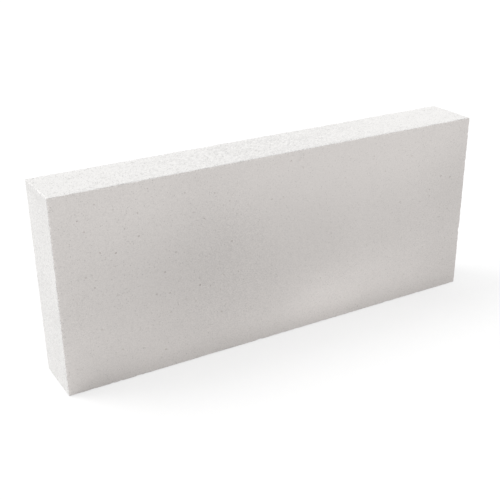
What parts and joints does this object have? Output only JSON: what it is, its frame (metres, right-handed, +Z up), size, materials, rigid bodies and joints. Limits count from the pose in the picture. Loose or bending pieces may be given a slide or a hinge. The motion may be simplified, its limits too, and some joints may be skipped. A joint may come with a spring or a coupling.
{
  "type": "aerated concrete partition block",
  "caption": "Plain rectangular aerated concrete block with lightly eased edges, laid on its long narrow face to build thin partition walls.",
  "frame": {"origin": "centre of the lower bed face, the face that the block stands on", "axes": "+X along the block's length, -Y out of the large face that the picture shows, +Z up through one course"},
  "size_m": [0.6, 0.075, 0.25],
  "materials": {
    "aerated_concrete": "matt white-grey mineral surface with fine open pores"
  },
  "bodies": {
    "root": {"aerated_block": "aerated_concrete"}
  },
  "joints": []
}
